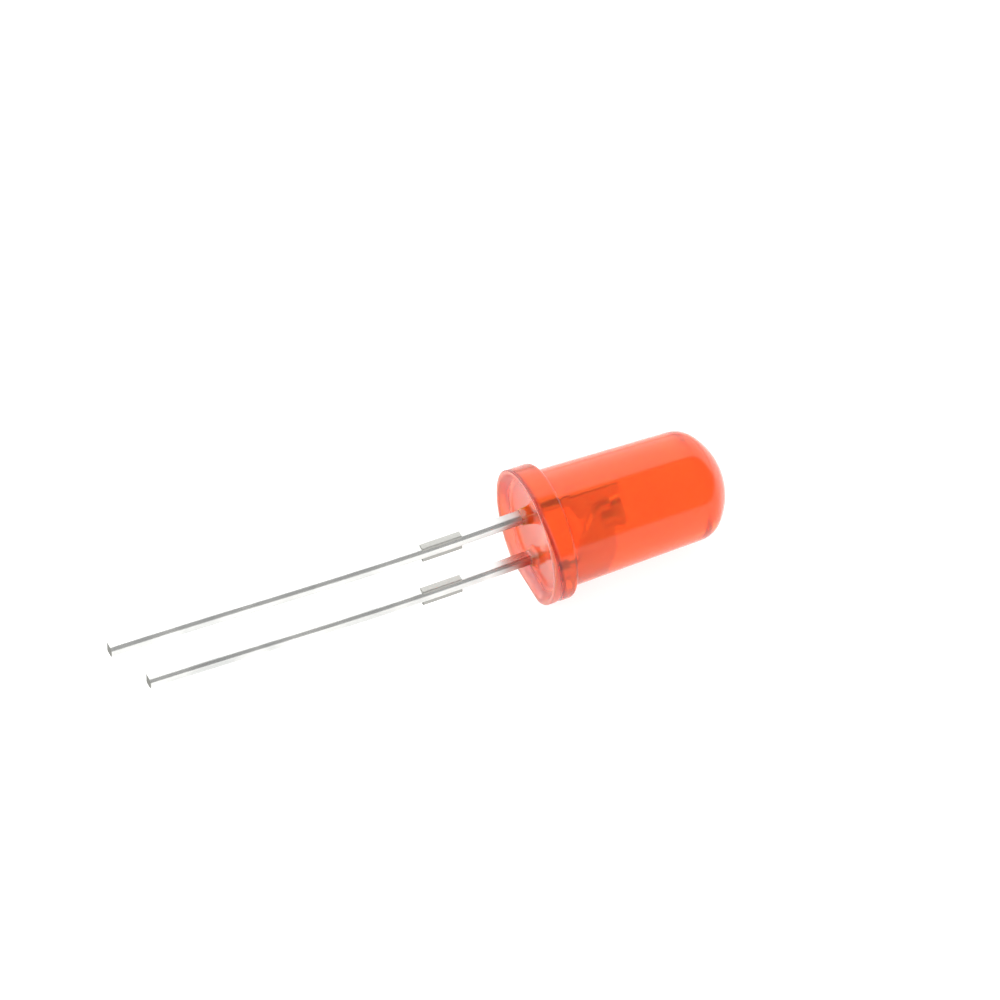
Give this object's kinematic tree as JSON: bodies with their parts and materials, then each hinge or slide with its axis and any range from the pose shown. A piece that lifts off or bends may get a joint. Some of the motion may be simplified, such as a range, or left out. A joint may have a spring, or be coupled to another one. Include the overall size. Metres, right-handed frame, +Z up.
{
  "type": "through hole led",
  "caption": "Round through-hole LED: tinted diffused epoxy lens with flange, cathode flat and low dome, on straight square wire leads.",
  "frame": {"origin": "centre of the footprint, on the surface that the part lies on", "axes": "+X along the lens's axis towards the dome, +Z up, with the anode lead above the cathode lead"},
  "size_m": [0.027, 0.0058, 0.0055],
  "materials": {
    "epoxy": "smooth cast epoxy, red tint, lightly diffused",
    "tinned_steel": "bright tin plating over stamped steel",
    "silver_paste": "matt silver-filled epoxy paste",
    "semiconductor": "sawn crystal",
    "gold": "drawn gold wire"
  },
  "bodies": {
    "root": {"lens": "epoxy", "cathode_lead": "tinned_steel", "anode_lead": "tinned_steel", "die_attach": "silver_paste", "led_die": "semiconductor", "bond_wire": "gold"}
  },
  "joints": []
}
